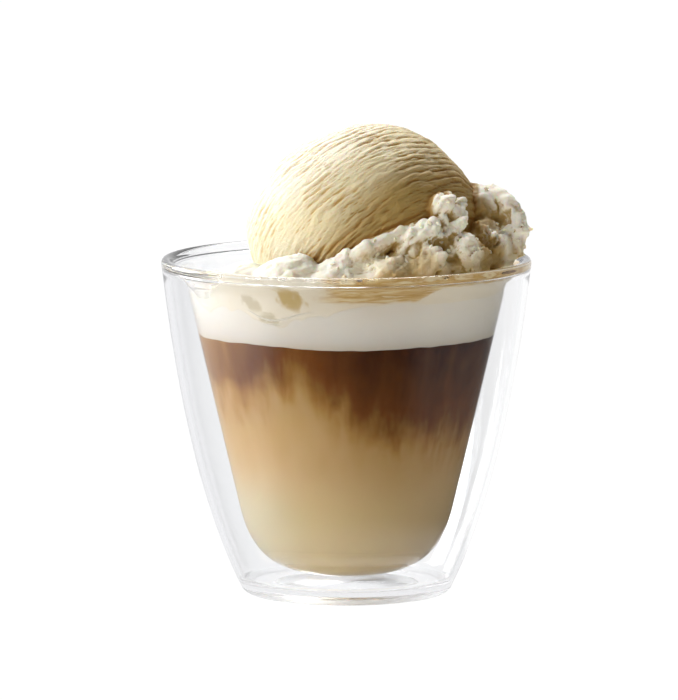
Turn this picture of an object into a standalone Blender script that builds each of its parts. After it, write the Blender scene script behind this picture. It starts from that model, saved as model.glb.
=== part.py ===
"""Affogato in a double-walled glass: coffee in two layers, milk foam and a scoop of vanilla ice cream.

The origin is the centre of the glass's foot, with +Z up. The scoop's front is towards -Y and its
torn, raised side is towards +X. Everything round is turned about Z in the same number of steps, so
that the facets of a drink and of the wall round it stay parallel.
"""

import math

import bmesh
import bpy
from mathutils import Matrix, Vector, noise
from mathutils.geometry import interpolate_bezier

MM = 0.001

# Driving dimensions of the glass
RIM_RADIUS = 45.0 * MM
GLASS_HEIGHT = 82.0 * MM
WALL = 1.5 * MM
FOOT_RADIUS = 23.0 * MM
FOOT_RING_INNER = 18.0 * MM
PUNT_DEPTH = 1.0 * MM
FLOOR_THICKNESS = 1.5 * MM
VENT_RADIUS = 1.5 * MM
BOWL_BOTTOM = 4.8 * MM
FLARE_START = 75.4 * MM
CLEARANCE = 0.3 * MM
TURN_STEPS = 40

# Levels of the drink, from the foot up
LAYER_MEETING = 45.5 * MM
FOAM_BOTTOM = 64.0 * MM
FOAM_TOP = 76.0 * MM

# The scoop
BALL_CENTRE = Vector((4.9, -0.5, 88.5)) * MM
BALL_REACH = Vector((28.6, 27.0, 25.4)) * MM
ROLLING_AXIS = Vector((0.593, -0.545, -0.593)).normalized()
RIDGE_DEPTH = 0.42 * MM
CRAG_DEPTH = 2.0 * MM
COLLAR_VOXEL = 0.8 * MM
COLLAR_KEPT = 0.064
SCOOP_BASE = 65.5 * MM
FOAM_RINGS = 12
# Each pocket: x, y, width and depth in millimetres
SUNK_POCKETS = ((-17, -30, 8, 6), (-6, -34, 7, 3), (-30, -16, 7, 4))
NOISE_SEED = Vector((3.1, 7.7, 1.9))

# Lumps of the torn collar, in millimetres: centre and half sizes, from the front round to the back
COLLAR_LUMPS = (
    ((-25, -20, 78), (7, 8, 5)),
    ((-15, -28, 80), (9, 7, 5)),
    ((-18, -31, 75), (7, 6, 6)),
    ((-9, -33, 76), (6, 5, 5)),
    ((-3, -31, 79.5), (9, 6, 4.5)),
    ((9, -31, 80.5), (8, 6, 5)),
    ((19, -28.5, 82), (7, 6, 6)),
    ((28, -22.5, 83.5), (7, 7, 6.5)),
    ((35, -11, 85), (5.5, 9, 8)),
    ((17, -24.5, 89.5), (6.5, 5, 4.5)),
    ((24.5, -18, 94.5), (5.5, 5, 5)),
    ((32, 0, 92), (7, 10, 8)),
    ((32, 11, 86), (6, 10, 8)),
    ((21, 23, 83), (9, 8, 6.5)),
    ((2, 28, 79.5), (12, 7, 5)),
    ((-17, 19, 77.5), (8, 9, 3.5)),
)

# Flakes that stand out of the collar, in millimetres: bent path, direction across, width, thickness
FLAKES = (
    (((34, -9, 80), (43, -10, 86), (43.5, -6, 93), (35, -3, 99)), (-0.4, 1, 0.1), 17, 6),
    (((-8, -29, 82), (0, -30.5, 83.5), (6, -29, 86), (14, -27, 91.5)), (0.1, -0.6, 0.8), 7, 5.5),
    (((12, -28, 85), (17, -28, 88), (20, -27, 90), (21, -25, 94)), (0.8, 0.3, -0.3), 7, 5),
    (((24, -22, 86), (28, -22, 90), (29, -19, 94), (27, -16, 98)), (0.7, 0.6, 0), 8, 5),
    (((20, 20, 86), (26, 22, 90), (24, 21, 96), (18, 20, 98)), (0.7, -0.7, 0.1), 13, 5.5),
    (((-2, 27, 82), (-8, 29, 84), (-14, 27, 84), (-20, 24, 82)), (0, 0.6, 0.8), 9, 5.5),
)


def clear_scene():
    for obj in list(bpy.data.objects):
        bpy.data.objects.remove(obj)


def food(name, colour, roughness, subsurface=0.0):
    """A non-metallic material in the part's own colour."""
    material = bpy.data.materials.new(name)
    material.use_nodes = True
    shader = material.node_tree.nodes["Principled BSDF"]
    shader.inputs["Base Color"].default_value = (*colour, 1.0)
    shader.inputs["Roughness"].default_value = roughness
    shader.inputs["Metallic"].default_value = 0.0
    shader.inputs["Subsurface Weight"].default_value = subsurface
    return material


def clear_glass():
    material = food("clear_glass", (0.96, 0.98, 0.98), 0.02)
    shader = material.node_tree.nodes["Principled BSDF"]
    shader.inputs["Transmission Weight"].default_value = 1.0
    shader.inputs["IOR"].default_value = 1.47
    return material


def curve_through(start, handle_a, handle_b, end, count):
    """Points (radius, height) in metres along one bend, its ends and handles given in millimetres."""
    knots = [Vector((*point, 0.0)) * MM for point in (start, handle_a, handle_b, end)]
    return [(p.x, p.y) for p in interpolate_bezier(*knots, count)]


def offset_line(points, distance):
    """The line moved to its left by distance, point by point."""
    moved = []
    for i, (radius, height) in enumerate(points):
        before = Vector(points[max(i - 1, 0)])
        after = Vector(points[min(i + 1, len(points) - 1)])
        along = (after - before).normalized()
        moved.append((radius - along.y * distance, height + along.x * distance))
    return moved


def without_repeats(points):
    kept = points[:1]
    for point in points[1:]:
        if (Vector(point) - Vector(kept[-1])).length > 0.01 * MM:
            kept.append(point)
    return kept


def bowl_outside():
    """The inner vessel's face towards the air gap, from the bottom's centre up to the rim's flare."""
    bottom = BOWL_BOTTOM / MM
    round_bottom = curve_through((0, bottom), (13, bottom), (22.6, 5.6), (26.2, 22), 8)
    side = curve_through((26.2, 22), (30.5, 40), (34.8, 58), (38.7, 75), 5)
    return without_repeats(round_bottom + side)


def drinking_face():
    """The face that the drink touches, from the bottom's centre up to the lip."""
    inside = offset_line(bowl_outside(), WALL)
    inside[0] = (0.0, inside[0][1])
    flare = curve_through((37.3, FLARE_START / MM), (38.0, 78.4), (41.0, 79.0), (42.5, 81.0), 4)
    return without_repeats(inside[:-1] + flare)


def outer_wall():
    """The outside of the glass, from under the lip down to the foot."""
    rim = RIM_RADIUS / MM
    side = curve_through((rim, 80.7), (41.1, 46.2), (34.8, 20.0), (26.0, 2.0), 8)
    heel = curve_through((26.0, 2.0), (25.4, 0.8), (24.6, 0.0), (FOOT_RADIUS / MM, 0.0), 4)
    return without_repeats(side + heel)


def glass_profile():
    """One line round the whole wall: drinking face, lip, outside, foot, vent, air gap."""
    height = GLASS_HEIGHT / MM
    lip = curve_through((42.5, 81.0), (43.1, height + 0.3), (45.0, height + 0.2), (45.0, 80.7), 5)
    outside = outer_wall()
    step_in = FOOT_RING_INNER - PUNT_DEPTH
    under = [(FOOT_RING_INNER, 0.0), (step_in, PUNT_DEPTH), (VENT_RADIUS, PUNT_DEPTH)]
    floor = PUNT_DEPTH + FLOOR_THICKNESS
    gap_outer = offset_line(outside[:8], -WALL)[::-1]
    gap_floor = [(VENT_RADIUS, floor), (21.0 * MM, floor)]
    gap_top = curve_through((43.4, 79.3), (43.4, 80.3), (41.6, 79.6), (40.6, 78.3), 4)
    gap_inner = bowl_outside()[::-1]
    loop = drinking_face() + lip + outside + under + gap_floor + gap_outer[:-1] + gap_top + gap_inner
    return without_repeats(loop)


def turned(name, profile_at):
    """A closed solid round Z. profile_at(angle) gives its line from one pole to the other.

    Each facet is split from its outer corner to its inner one, so that faces which meet stay parallel.
    """
    mesh_data = bmesh.new()
    first = profile_at(0.0)
    poles = [mesh_data.verts.new((0, 0, first[0][1])), mesh_data.verts.new((0, 0, first[-1][1]))]
    columns = []
    for step in range(TURN_STEPS):
        angle = 2 * math.pi * step / TURN_STEPS
        line = profile_at(angle)[1:-1]
        turn = (math.cos(angle), math.sin(angle))
        columns.append([mesh_data.verts.new((r * turn[0], r * turn[1], z)) for r, z in line])
    for step, column in enumerate(columns):
        beside = columns[(step + 1) % TURN_STEPS]
        mesh_data.faces.new((poles[0], beside[0], column[0]))
        for low in range(len(column) - 1):
            corners = [column[low], beside[low], beside[low + 1], column[low + 1]]
            if column[low].co.xy.length < column[low + 1].co.xy.length:
                corners = corners[1:] + corners[:1]
            mesh_data.faces.new(corners[:3])
            mesh_data.faces.new((corners[0], corners[2], corners[3]))
        mesh_data.faces.new((poles[1], column[-1], beside[-1]))
    bmesh.ops.recalc_face_normals(mesh_data, faces=mesh_data.faces)
    return finish_mesh(name, mesh_data)


def finish_mesh(name, mesh_data, smooth_angle=40):
    mesh = bpy.data.meshes.new(name)
    mesh_data.to_mesh(mesh)
    mesh_data.free()
    mesh.shade_smooth()
    mesh.set_sharp_from_angle(angle=math.radians(smooth_angle))
    obj = bpy.data.objects.new(name, mesh)
    bpy.context.scene.collection.objects.link(obj)
    return obj


def radius_on(line, height):
    """The radius of a rising line at a height."""
    for (r_low, z_low), (r_high, z_high) in zip(line, line[1:]):
        if z_low <= height <= z_high:
            return r_low + (r_high - r_low) * (height - z_low) / (z_high - z_low)
    raise ValueError("the line doesn't reach that height")


def side_line(line, low, high, count):
    """Points on the line between two heights."""
    heights = [low + (high - low) * i / (count - 1) for i in range(count)]
    return [(radius_on(line, z), z) for z in heights]


def surface_line(height_at, angle, edge, rings):
    """Points from the wall to the centre of a surface, its height set by angle and share of radius."""
    return [(edge * (1 - i / rings), height_at(angle, 1 - i / rings)) for i in range(1, rings + 1)]


def layer_meeting(angle, share):
    """The uneven meeting of espresso and milk coffee: lower on the right, with tongues at the wall."""
    tilt = 3.0 * math.cos(angle - math.pi)
    tongues = 1.6 * math.sin(3 * angle + 0.6) + 1.3 * math.sin(7 * angle + 2.0)
    ripples = 0.7 * math.sin(11 * angle)
    return LAYER_MEETING + (tilt + tongues + ripples) * share**2 * MM


def foam_meeting(angle, share):
    """The nearly level meeting of foam and espresso."""
    waves = 0.30 * math.sin(2 * angle + 1.0) + 0.15 * math.sin(5 * angle)
    return FOAM_BOTTOM + waves * share**2 * MM


def drink_line():
    line = offset_line(drinking_face(), CLEARANCE)
    line[0] = (0.0, line[0][1])
    return line


def make_milk_coffee(line):
    bowl_points = [point for point in line if point[1] < 30 * MM]

    def profile(angle):
        top = layer_meeting(angle, 1.0) - CLEARANCE / 2
        side = side_line(line, 31 * MM, top, 3)
        surface = surface_line(layer_meeting, angle, side[-1][0], 4)
        return bowl_points + side + [(r, z - CLEARANCE / 2) for r, z in surface]

    return turned("milk_coffee", profile)


def make_espresso(line):
    def profile(angle):
        low = layer_meeting(angle, 1.0) + CLEARANCE / 2
        high = foam_meeting(angle, 1.0) - CLEARANCE / 2
        side = side_line(line, low, high, 4)
        bottom = surface_line(layer_meeting, angle, side[0][0], 4)[::-1]
        top = surface_line(foam_meeting, angle, side[-1][0], 3)
        lifted = [(r, z + CLEARANCE / 2) for r, z in bottom]
        return lifted + side + [(r, z - CLEARANCE / 2) for r, z in top]

    return turned("espresso_layer", profile)


def foam_top(angle, radius):
    """The foam's uneven upper face, with the seat of the scoop and the pockets of its sunk left side."""
    x, y = radius * math.cos(angle) / MM, radius * math.sin(angle) / MM
    spot = Vector((x, y, 0)) / 9
    level = FOAM_TOP / MM + 0.8 * noise.noise(spot + NOISE_SEED)
    for px, py, width, depth in SUNK_POCKETS:
        level -= depth * math.exp(-((x - px) ** 2 + (y - py) ** 2) / width**2)
    across = (x - BALL_CENTRE.x / MM) / (BALL_REACH.x / MM - 1)
    along = (y - BALL_CENTRE.y / MM) / (BALL_REACH.y / MM - 1)
    inside = 1 - across**2 - along**2
    if inside > 0:
        underside = BALL_CENTRE.z / MM - (BALL_REACH.z / MM - 1) * math.sqrt(inside)
        level = min(level, underside)
    return max(level * MM, SCOOP_BASE)


def foam_top_line(angle, edge, raised):
    """Points over the foam's upper face, from the wall to the centre."""
    shares = [1 - i / FOAM_RINGS for i in range(FOAM_RINGS)] + [0.0]
    centre = foam_top(0.0, 0.0)
    return [(edge * s, (foam_top(angle, edge * s) if s else centre) + raised) for s in shares]


def make_foam(line):
    """The foam, from the espresso up, with its own level round the scoop."""
    edge = radius_on(line, FOAM_TOP)

    def profile(angle):
        low = foam_meeting(angle, 1.0) + CLEARANCE / 2
        top = foam_top_line(angle, edge, 0.0)
        corner = min(FLARE_START, top[0][1] - 0.3 * MM)
        side = side_line(line, low, corner, 3)
        side.append((radius_on(line, top[0][1]), top[0][1]))
        bottom = surface_line(foam_meeting, angle, side[0][0], 3)[::-1]
        return [(r, z + CLEARANCE / 2) for r, z in bottom] + side + top[1:]

    return turned("milk_foam", profile)


def reach(direction, semi_axes):
    """The distance from an ellipsoid's centre to its surface."""
    scaled = Vector(direction[i] / semi_axes[i] for i in range(3))
    return 1 / scaled.length


def scooped_ball():
    """The ball, its ridges running in rings round the axis that the scoop rolled on."""
    rings, spokes = 44, 34
    side = ROLLING_AXIS.orthogonal().normalized()
    other = ROLLING_AXIS.cross(side)
    mesh_data = bmesh.new()

    def spot(ring, spoke):
        from_pole = math.pi * ring / rings
        round_axis = 2 * math.pi * spoke / spokes
        outward = side * math.cos(round_axis) + other * math.sin(round_axis)
        direction = ROLLING_AXIS * math.cos(from_pole) + outward * math.sin(from_pole)
        broken = 0.55 + 0.9 * noise.noise(direction * 3.2 + Vector((0, 0, ring * 0.31)))
        ridge = RIDGE_DEPTH * broken * (1 if ring % 2 else -1)
        swell = 0.9 * noise.noise(direction * 1.7 + NOISE_SEED) * MM
        return BALL_CENTRE + direction * (reach(direction, BALL_REACH) + ridge + swell)

    poles = [mesh_data.verts.new(spot(0, 0)), mesh_data.verts.new(spot(rings, 0))]
    grid = [[mesh_data.verts.new(spot(r, s)) for s in range(spokes)] for r in range(1, rings)]
    for s in range(spokes):
        after = (s + 1) % spokes
        mesh_data.faces.new((poles[0], grid[0][s], grid[0][after]))
        mesh_data.faces.new((poles[1], grid[-1][after], grid[-1][s]))
        for r in range(rings - 2):
            mesh_data.faces.new((grid[r][s], grid[r + 1][s], grid[r + 1][after], grid[r][after]))
    bmesh.ops.recalc_face_normals(mesh_data, faces=mesh_data.faces)
    return finish_mesh("scooped_ball", mesh_data)


def lump(name, centre, semi_axes, tilt, subdivisions):
    """A plain rounded mass, its sizes in millimetres and its tilt about X and Y in degrees."""
    mesh_data = bmesh.new()
    bmesh.ops.create_icosphere(mesh_data, subdivisions=subdivisions, radius=1.0)
    lean = Matrix.Rotation(math.radians(tilt[0]), 3, "X")
    lean = lean @ Matrix.Rotation(math.radians(tilt[1]), 3, "Y")
    for vertex in mesh_data.verts:
        point = Vector(vertex.co[i] * semi_axes[i] for i in range(3))
        vertex.co = (lean @ point + Vector(centre)) * MM
    return finish_mesh(name, mesh_data)


def apply_modifier(obj, modifier_type, **settings):
    """Reshapes the object, and keeps the result as a plain mesh."""
    modifier = obj.modifiers.new(modifier_type.lower(), modifier_type)
    for setting, value in settings.items():
        setattr(modifier, setting, value)
    graph = bpy.context.evaluated_depsgraph_get()
    made = bpy.data.meshes.new_from_object(obj.evaluated_get(graph))
    obj.modifiers.clear()
    obj.data = made


def tear(obj):
    """Breaks the surface into crags: broad lumps, sharp creases between them and a finer grain."""
    moved = []
    for vertex in obj.data.vertices:
        point = vertex.co / MM
        stretched = Vector((point.x, point.y, point.z - 0.35 * point.x))
        broad = noise.noise(stretched / 8 + NOISE_SEED)
        crease = abs(noise.noise(stretched / 6.5 - NOISE_SEED))
        grain = noise.noise(stretched / 2.6)
        depth = CRAG_DEPTH * (0.7 * broad + 1.8 * min(crease, 0.3) - 0.25 + 0.2 * grain)
        moved.append(vertex.co + vertex.normal * depth)
    for vertex, place in zip(obj.data.vertices, moved):
        vertex.co = place


def curled_flake(name, path, across, width, thickness, seed):
    """A thick torn strip: a flat oval section, ragged at its edges, that follows a bent path."""
    steps, spokes = 9, 10
    knots = [Vector(point) for point in path]
    middle = [Vector(point) for point in interpolate_bezier(*knots, steps + 1)]
    sideways = Vector(across).normalized()
    mesh_data = bmesh.new()

    def spot(step, spoke):
        share = step / steps
        forward = (middle[min(step + 1, steps)] - middle[max(step - 1, 0)]).normalized()
        over = forward.cross(sideways).normalized()
        taper = math.sqrt(math.sin(math.pi * (0.04 + 0.92 * share)))
        turn = 2 * math.pi * spoke / spokes
        ragged = 1 + 0.5 * noise.noise(Vector((share * 4, math.cos(turn) * 1.5, seed)))
        offset = sideways * math.cos(turn) * width / 2 * taper * ragged
        offset += over * math.sin(turn) * thickness / 2 * taper
        offset += over * 1.2 * noise.noise(Vector((share * 2.5, math.cos(turn), seed + 9)))
        return (middle[step] + offset) * MM

    rings = []
    for step in range(steps + 1):
        rings.append([mesh_data.verts.new(spot(step, spoke)) for spoke in range(spokes)])
    for low, high in zip(rings, rings[1:]):
        for i in range(spokes):
            j = (i + 1) % spokes
            mesh_data.faces.new((low[i], low[j], high[j]))
            mesh_data.faces.new((low[i], high[j], high[i]))
    mesh_data.faces.new(rings[0][::-1])
    mesh_data.faces.new(rings[-1])
    bmesh.ops.recalc_face_normals(mesh_data, faces=mesh_data.faces)
    return finish_mesh(name, mesh_data)


def room_in_glass(line):
    """What the scoop may fill: the bowl above the foam, inside its clearance, and open air above the rim."""
    edge = radius_on(line, FOAM_TOP)
    side = [point for point in line if FOAM_TOP + 1 * MM < point[1] < GLASS_HEIGHT]
    over_rim = GLASS_HEIGHT + 0.5 * MM
    ceiling = 125 * MM
    above = [(42.0 * MM, over_rim), (44.2 * MM, over_rim + 1 * MM), (44.2 * MM, ceiling)]

    def profile(angle):
        floor = foam_top_line(angle, edge, CLEARANCE)[::-1]
        low = floor[-1][1]
        corner = max(FLARE_START, low + 0.3 * MM)
        floor[-1] = (radius_on(line, low), low)
        return floor + [(radius_on(line, corner), corner)] + side + above + [(0.0, ceiling)]

    return turned("room_in_glass", profile)


def join_pieces(pieces):
    """Fuses the pieces into the first one."""
    group = bpy.data.collections.new("pieces")
    bpy.context.scene.collection.children.link(group)
    for piece in pieces[1:]:
        bpy.context.scene.collection.objects.unlink(piece)
        group.objects.link(piece)
    joining = {"operation": "UNION", "solver": "MANIFOLD", "operand_type": "COLLECTION"}
    apply_modifier(pieces[0], "BOOLEAN", **joining, collection=group)
    for piece in pieces[1:]:
        bpy.data.objects.remove(piece)
    bpy.data.collections.remove(group)
    return pieces[0]


def keep_outer_shell(obj):
    """Fills hollows that joining has sealed and drops loose scraps: only the largest shell stays."""
    mesh_data = bmesh.new()
    mesh_data.from_mesh(obj.data)
    unseen = set(mesh_data.faces)
    shells = []
    while unseen:
        waiting = [unseen.pop()]
        shell = []
        while waiting:
            face = waiting.pop()
            shell.append(face)
            beside = {other for edge in face.edges for other in edge.link_faces} & unseen
            unseen -= beside
            waiting.extend(beside)
        shells.append(shell)
    shells.sort(key=len)
    scraps = [face for shell in shells[:-1] for face in shell]
    bmesh.ops.delete(mesh_data, geom=scraps, context="FACES")
    mesh_data.to_mesh(obj.data)
    mesh_data.free()


def make_scoop(line):
    """The ball, the torn collar that the scoop squeezed out, and the flakes that stand on it."""
    masses = [lump("collar", (8, -1, 79), (29, 30, 8.5), (4, -21), 4)]
    for i, (centre, size) in enumerate(COLLAR_LUMPS):
        masses.append(lump(f"lump_{i}", centre, size, (10 * math.sin(i * 2.1), -18), 3))
    for i, (path, across, width, thickness) in enumerate(FLAKES):
        masses.append(curled_flake(f"flake_{i}", path, across, width, thickness, i * 3.7))
    collar = join_pieces(masses)
    apply_modifier(collar, "REMESH", mode="VOXEL", voxel_size=COLLAR_VOXEL)
    tear(collar)
    apply_modifier(collar, "DECIMATE", ratio=COLLAR_KEPT)
    scoop = join_pieces([scooped_ball(), collar])
    room = room_in_glass(line)
    apply_modifier(scoop, "BOOLEAN", operation="INTERSECT", solver="MANIFOLD", object=room)
    bpy.data.objects.remove(room)
    keep_outer_shell(scoop)
    scoop.name = "ice_cream_scoop"
    return scoop


def main():
    clear_scene()
    line = drink_line()
    profile = glass_profile()
    glass = turned("glass", lambda angle: profile)
    glass.data.materials.append(clear_glass())
    scoop = make_scoop(line)
    parts = [
        (make_milk_coffee(line), food("milk_coffee", (0.56, 0.40, 0.23), 0.25, 0.1)),
        (make_espresso(line), food("espresso", (0.09, 0.03, 0.01), 0.2)),
        (make_foam(line), food("milk_foam", (0.87, 0.83, 0.74), 0.6, 0.2)),
        (scoop, food("vanilla_ice_cream", (0.90, 0.80, 0.56), 0.55, 0.2)),
    ]
    for obj, material in parts:
        obj.data.materials.clear()
        obj.data.materials.append(material)


main()
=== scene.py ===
# %% [markdown]
# # Affogato in a double-walled glass
#
# The real thing is a clear tumbler with two walls. In it are milk coffee, a dark band of espresso and
# a layer of milk foam, and a scoop of vanilla ice cream sits in the foam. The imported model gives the
# plain solids, all in one frame in metres: the origin is the centre of the foot and +Z is up. Each
# solid is replaced here by a finer piece of the same form.

# %% Load the fixed frame
import math

import bmesh
import bpy
from mathutils import Matrix, Vector, noise
from mathutils.bvhtree import BVHTree
from mathutils.geometry import interpolate_bezier


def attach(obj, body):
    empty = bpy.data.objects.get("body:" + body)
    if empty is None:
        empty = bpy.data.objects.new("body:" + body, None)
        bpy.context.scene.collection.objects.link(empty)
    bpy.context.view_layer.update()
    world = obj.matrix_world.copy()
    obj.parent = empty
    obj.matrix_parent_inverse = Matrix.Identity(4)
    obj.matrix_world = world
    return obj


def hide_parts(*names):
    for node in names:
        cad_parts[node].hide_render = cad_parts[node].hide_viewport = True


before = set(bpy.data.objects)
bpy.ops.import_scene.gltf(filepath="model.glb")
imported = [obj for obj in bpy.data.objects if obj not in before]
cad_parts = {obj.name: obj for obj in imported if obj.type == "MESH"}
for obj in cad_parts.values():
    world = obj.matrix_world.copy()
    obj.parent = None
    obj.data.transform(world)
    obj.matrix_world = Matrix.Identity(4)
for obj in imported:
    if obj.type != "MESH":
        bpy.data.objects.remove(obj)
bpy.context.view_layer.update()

print("nodes:", sorted(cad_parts))

# %% [markdown]
# ## Sizes
#
# Everything is worked out in millimetres and turned into metres at the end. Most of the numbers below
# are the ones that the solids were made from, so a fine piece lands exactly where its solid is. The
# bites say how far each filling reaches into the glass wall. They differ, so that no two surfaces
# share one place.

# %% Name the sizes
MM = 0.001
RIM_RADIUS = 45.0
GLASS_HEIGHT = 82.0
WALL = 1.5
FOOT_RADIUS = 23.0
FOOT_RING_INNER = 18.0
PUNT_DEPTH = 1.0
FLOOR_THICKNESS = 1.5
VENT_RADIUS = 1.5
BOWL_BOTTOM = 4.8
FLARE_START = 75.4
LAYER_MEETING = 45.5
FOAM_BOTTOM = 64.0
FOAM_TOP = 76.0
SCOOP_BASE = 65.5
BITE = 0.08
FOAM_BITE = 0.05
SCOOP_BITE = 0.11
MELT_BITE = 0.17
SEED = Vector((3.1, 7.7, 1.9))
BALL_CENTRE = Vector((4.9, -0.5, 88.5))
BALL_REACH = Vector((28.6, 27.0, 25.4))
ROLLING_AXIS = Vector((0.593, -0.545, -0.593)).normalized()

# %% [markdown]
# ## Shader maths as Python
#
# A material is a small graph. Writing it as an expression, such as `1 - mask * 0.5`, is easier to read
# than a list of links. The class below wraps the output of one node. An arithmetic sign between two of
# them adds a Math node, and `make` adds any other kind of node.

# %% A class for shader expressions
class Shade:
    """One output of a shader node, which can be added, multiplied and compared."""

    def __init__(self, tree, output):
        self.tree = tree
        self.output = output

    @staticmethod
    def make(tree, kind, settings=(), inputs=(), output=0):
        """Adds a node: its settings first, then the value or link of each socket."""
        node = tree.nodes.new(kind)
        for name, value in dict(settings).items():
            if name == "stops":
                Shade.set_stops(node.color_ramp, value)
            else:
                setattr(node, name, value)
        for socket, value in dict(inputs).items():
            if isinstance(value, Shade):
                tree.links.new(value.output, node.inputs[socket])
            else:
                node.inputs[socket].default_value = value
        return Shade(tree, node.outputs[output])

    @staticmethod
    def set_stops(ramp, stops):
        while len(ramp.elements) < len(stops):
            ramp.elements.new(1.0)
        for element, (place, colour) in zip(ramp.elements, stops):
            element.position = place
            element.color = (*colour, 1.0)

    def maths(self, operation, *values, clamp=False):
        settings = {"operation": operation, "use_clamp": clamp}
        return Shade.make(self.tree, "ShaderNodeMath", settings, dict(enumerate(values)))

    def __add__(self, other):
        return self.maths("ADD", self, other)

    def __sub__(self, other):
        return self.maths("SUBTRACT", self, other)

    def __rsub__(self, other):
        return self.maths("SUBTRACT", other, self)

    def __mul__(self, other):
        return self.maths("MULTIPLY", self, other)

    def __truediv__(self, other):
        return self.maths("DIVIDE", self, other)

    def __pow__(self, other):
        return self.maths("POWER", self, other)

    __radd__ = __add__
    __rmul__ = __mul__

    def limited(self):
        return self.maths("ADD", self, 0.0, clamp=True)

    def step(self, low, high):
        """A smooth rise from 0 at low to 1 at high, or a fall from high to low where low is the greater."""
        inputs = {"Value": self, "From Min": low, "From Max": high}
        return Shade.make(self.tree, "ShaderNodeMapRange", {"interpolation_type": "SMOOTHSTEP"}, inputs)

    def higher_of(self, other):
        return self.maths("MAXIMUM", self, other)

    def bump_at(self, place, width):
        """A soft hill of height 1 round one value."""
        return self.maths("EXPONENT", ((self - place) / width) ** 2 * -1.0)


MIX_COLOUR_INPUTS = (0, 6, 7)
MIX_COLOUR_OUTPUT = 2


class Finish:
    """One material under construction, with the nodes that every finish here starts from."""

    def __init__(self, name):
        self.material = bpy.data.materials.new(name)
        self.material.use_nodes = True
        self.tree = self.material.node_tree
        self.shader = self.tree.nodes["Principled BSDF"]
        self.place = self.node("ShaderNodeTexCoord", output="Object")
        split = {"Vector": self.place}
        self.axes = [self.node("ShaderNodeSeparateXYZ", inputs=split, output=axis) / MM for axis in "XYZ"]
        self.x, self.y, self.z = self.axes

    def node(self, kind, settings=(), inputs=(), output=0):
        return Shade.make(self.tree, kind, settings, inputs, output)

    def stretched(self, sizes, shift=(0.0, 0.0, 0.0)):
        """The object's place, divided by sizes in millimetres along x, y and z."""
        inputs = {"Vector": self.place, "Location": shift}
        inputs["Scale"] = tuple(1 / (size * MM) for size in sizes)
        return self.node("ShaderNodeMapping", inputs=inputs)

    def noise(self, sizes, detail=2.0, rough=0.5, shift=(0.0, 0.0, 0.0), distortion=0.0):
        inputs = {"Vector": self.stretched(sizes, shift), "Scale": 1.0, "Detail": detail}
        inputs.update({"Roughness": rough, "Distortion": distortion})
        return self.node("ShaderNodeTexNoise", inputs=inputs)

    def attribute(self, name):
        return self.node("ShaderNodeAttribute", {"attribute_name": name}, output="Fac")

    def far_out(self):
        """Distance from the glass's axis in millimetres."""
        return (self.x**2 + self.y**2) ** 0.5

    def blend(self, share, low, high):
        """Mixes two colours, each given as numbers or as a colour output."""
        colours = [colour if isinstance(colour, Shade) else (*colour, 1.0) for colour in (low, high)]
        inputs = dict(zip(MIX_COLOUR_INPUTS, (share, *colours)))
        return self.node("ShaderNodeMix", {"data_type": "RGBA"}, inputs, MIX_COLOUR_OUTPUT)

    def ramp(self, value, stops):
        return self.node("ShaderNodeValToRGB", {"stops": stops}, {"Fac": value}, output="Color")

    def bump(self, height, distance, strength=1.0, under=None):
        inputs = {"Height": height, "Distance": distance * MM, "Strength": strength}
        if under is not None:
            inputs["Normal"] = under
        return self.node("ShaderNodeBump", inputs=inputs, output="Normal")

    def set(self, **values):
        """Sets the shader's sockets, an underscore in a name standing for a space."""
        for name, value in values.items():
            socket = self.shader.inputs[name.replace("_", " ")]
            if isinstance(value, Shade):
                self.tree.links.new(value.output, socket)
            elif isinstance(value, tuple) and len(value) == 3 and socket.type == "RGBA":
                socket.default_value = (*value, 1.0)
            else:
                socket.default_value = value


# %% [markdown]
# ## Shapes that are turned about the glass's axis
#
# The glass is a body of revolution, so its whole shape is one line: up the drinking face, over the lip,
# down the outside, round the foot, in through the vent and up both sides of the air gap. The line is
# drawn from a few bends. The sizes are those of the solid, only with more points along each bend.

# %% Draw the glass's line
def bend(start, handle_a, handle_b, end, count):
    """Points (radius, height) along one bend."""
    knots = [Vector((*point, 0.0)) for point in (start, handle_a, handle_b, end)]
    return [(p.x, p.y) for p in interpolate_bezier(*knots, count)]


def moved_left(points, distance):
    moved = []
    for i, (radius, height) in enumerate(points):
        before = Vector(points[max(i - 1, 0)])
        after = Vector(points[min(i + 1, len(points) - 1)])
        along = (after - before).normalized()
        moved.append((radius - along.y * distance, height + along.x * distance))
    return moved


def without_repeats(points):
    kept = points[:1]
    for point in points[1:]:
        if (Vector(point) - Vector(kept[-1])).length > 0.01:
            kept.append(point)
    return kept


def bowl_outside():
    """The inner vessel's face towards the air gap, from the bottom's centre up."""
    round_bottom = bend((0, BOWL_BOTTOM), (13, BOWL_BOTTOM), (22.6, 5.6), (26.2, 22), 26)
    side = bend((26.2, 22), (30.5, 40), (34.8, 58), (38.7, 75), 24)
    return without_repeats(round_bottom + side)


def drinking_face():
    inside = moved_left(bowl_outside(), WALL)
    inside[0] = (0.0, inside[0][1])
    flare = bend((37.3, FLARE_START), (38.0, 78.4), (41.0, 79.0), (42.5, 81.0), 14)
    return without_repeats(inside[:-1] + flare)


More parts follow.
